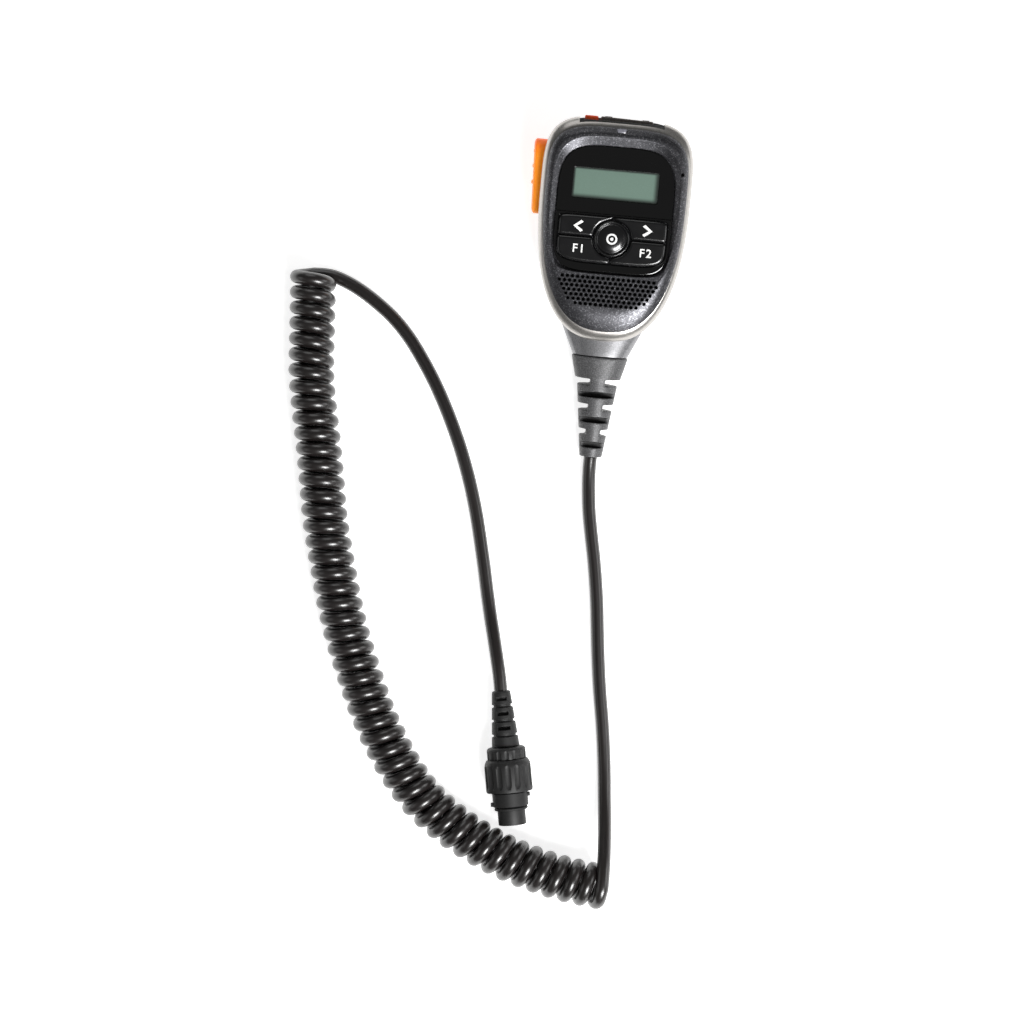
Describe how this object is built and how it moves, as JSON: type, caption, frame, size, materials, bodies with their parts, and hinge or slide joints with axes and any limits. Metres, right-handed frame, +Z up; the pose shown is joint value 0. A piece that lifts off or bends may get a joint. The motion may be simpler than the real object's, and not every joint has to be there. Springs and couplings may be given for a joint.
{
  "type": "hand microphone",
  "caption": "Hand microphone with display, keypad, push-to-talk button, speaker grille, hang-up stud, curly cord and round threaded connector.",
  "frame": {"origin": "centre of the footprint of the microphone with its cord boot, on the table it lies on, without the cord and the connector", "axes": "+X to the right of the face, +Y along the microphone towards its top end, +Z up from the table; the microphone leans back 8.6 degrees about X on its hang-up stud"},
  "size_m": [0.1593, 0.3204, 0.0404],
  "materials": {
    "painted_shell": "fine metallic satin paint",
    "silver_trim": "silver satin paint",
    "case_grey": "moulded, fine texture",
    "window_black": "polished",
    "display_glass": "liquid crystal glass",
    "key_black": "gloss",
    "safety_orange": "satin",
    "alarm_red": "satin",
    "rocker_grey": "satin",
    "seal_black": "matt",
    "boot_grey": "matt moulded",
    "cord_black": "satin extruded",
    "plug_black": "moulded",
    "board_green": "solder mask",
    "steel": "plated",
    "brass_gold": "gold flash",
    "lamp_clear": "smoked clear"
  },
  "bodies": {
    "microphone": {"alarm_switch": "seal_black", "board_connector": "seal_black", "case_gasket": "seal_black", "case_screw_1": "steel", "case_screw_2": "steel", "case_screw_3": "steel", "case_screw_4": "steel", "contact_insert": "seal_black", "contact_pin_1": "brass_gold", "contact_pin_2": "brass_gold", "contact_pin_3": "brass_gold", "contact_pin_4": "brass_gold", "contact_pin_5": "brass_gold", "contact_pin_6": "brass_gold", "cord_boot": "boot_grey", "cord_clamp": "plug_black", "cord_coil": "cord_black", "cord_lead": "cord_black", "cord_tail": "cord_black", "display_module": "display_glass", "display_window": "window_black", "front_case": "painted_shell", "hang_stud": "case_grey", "indicator_light_pipe": "lamp_clear", "key_bezel": "window_black", "keypad_mat": "seal_black", "main_board": "board_green", "mic_capsule": "steel", "mic_holder": "seal_black", "plug_boot": "plug_black", "plug_nut": "plug_black", "plug_o_ring": "seal_black", "plug_shell": "plug_black", "ptt_switch": "seal_black", "radio_chip": "seal_black", "rear_case": "case_grey", "speaker_cone": "seal_black", "speaker_felt": "seal_black", "speaker_frame": "steel", "speaker_magnet": "steel", "stud_screw": "steel", "top_seal_strip": "seal_black", "trim_ring": "silver_trim", "volume_down_switch": "seal_black", "volume_up_switch": "seal_black"},
    "ptt": {"ptt_button": "safety_orange"},
    "left_key": {"key_left": "key_black"},
    "right_key": {"key_right": "key_black"},
    "f1_key": {"key_f1": "key_black"},
    "f2_key": {"key_f2": "key_black"},
    "centre_key": {"key_centre": "key_black"},
    "alarm": {"alarm_key": "alarm_red"},
    "volume": {"volume_rocker": "rocker_grey"},
    "coupling": {"coupling_sleeve": "plug_black"}
  },
  "joints": [
    {"name": "ptt_press", "type": "slide", "parent": "microphone", "child": "ptt", "axis": [1, 0, 0], "range_m": [0, 0.0015], "stiffness_N_per_m": 2000, "springref_m": -0.001},
    {"name": "left_key_press", "type": "slide", "parent": "microphone", "child": "left_key", "axis": [0, 0.1502, -0.9887], "range_m": [0, 0.0008], "stiffness_N_per_m": 2500, "springref_m": -0.0003},
    {"name": "right_key_press", "type": "slide", "parent": "microphone", "child": "right_key", "axis": [0, 0.1502, -0.9887], "range_m": [0, 0.0008], "stiffness_N_per_m": 2500, "springref_m": -0.0003},
    {"name": "f1_key_press", "type": "slide", "parent": "microphone", "child": "f1_key", "axis": [0, 0.1502, -0.9887], "range_m": [0, 0.0008], "stiffness_N_per_m": 2500, "springref_m": -0.0003},
    {"name": "f2_key_press", "type": "slide", "parent": "microphone", "child": "f2_key", "axis": [0, 0.1502, -0.9887], "range_m": [0, 0.0008], "stiffness_N_per_m": 2500, "springref_m": -0.0003},
    {"name": "centre_key_press", "type": "slide", "parent": "microphone", "child": "centre_key", "axis": [0, 0.1502, -0.9887], "range_m": [0, 0.0008], "stiffness_N_per_m": 2500, "springref_m": -0.0003},
    {"name": "alarm_press", "type": "slide", "parent": "microphone", "child": "alarm", "axis": [0, -0.9887, -0.1502], "range_m": [0, 0.0005], "stiffness_N_per_m": 3000, "springref_m": -0.0003},
    {"name": "volume_rock", "type": "hinge", "parent": "microphone", "child": "volume", "pos_m": [0.00393, 0.06547, 0.03171], "axis": [0, -0.1502, 0.9887], "range_deg": [-2.5, 2.5], "stiffness_Nm_per_rad": 0.5},
    {"name": "coupling_turn", "type": "hinge", "parent": "microphone", "child": "coupling", "pos_m": [-0.01995, -0.20082, 0.0097], "axis": [0.1754, -0.9845, 0], "continuous": true}
  ]
}
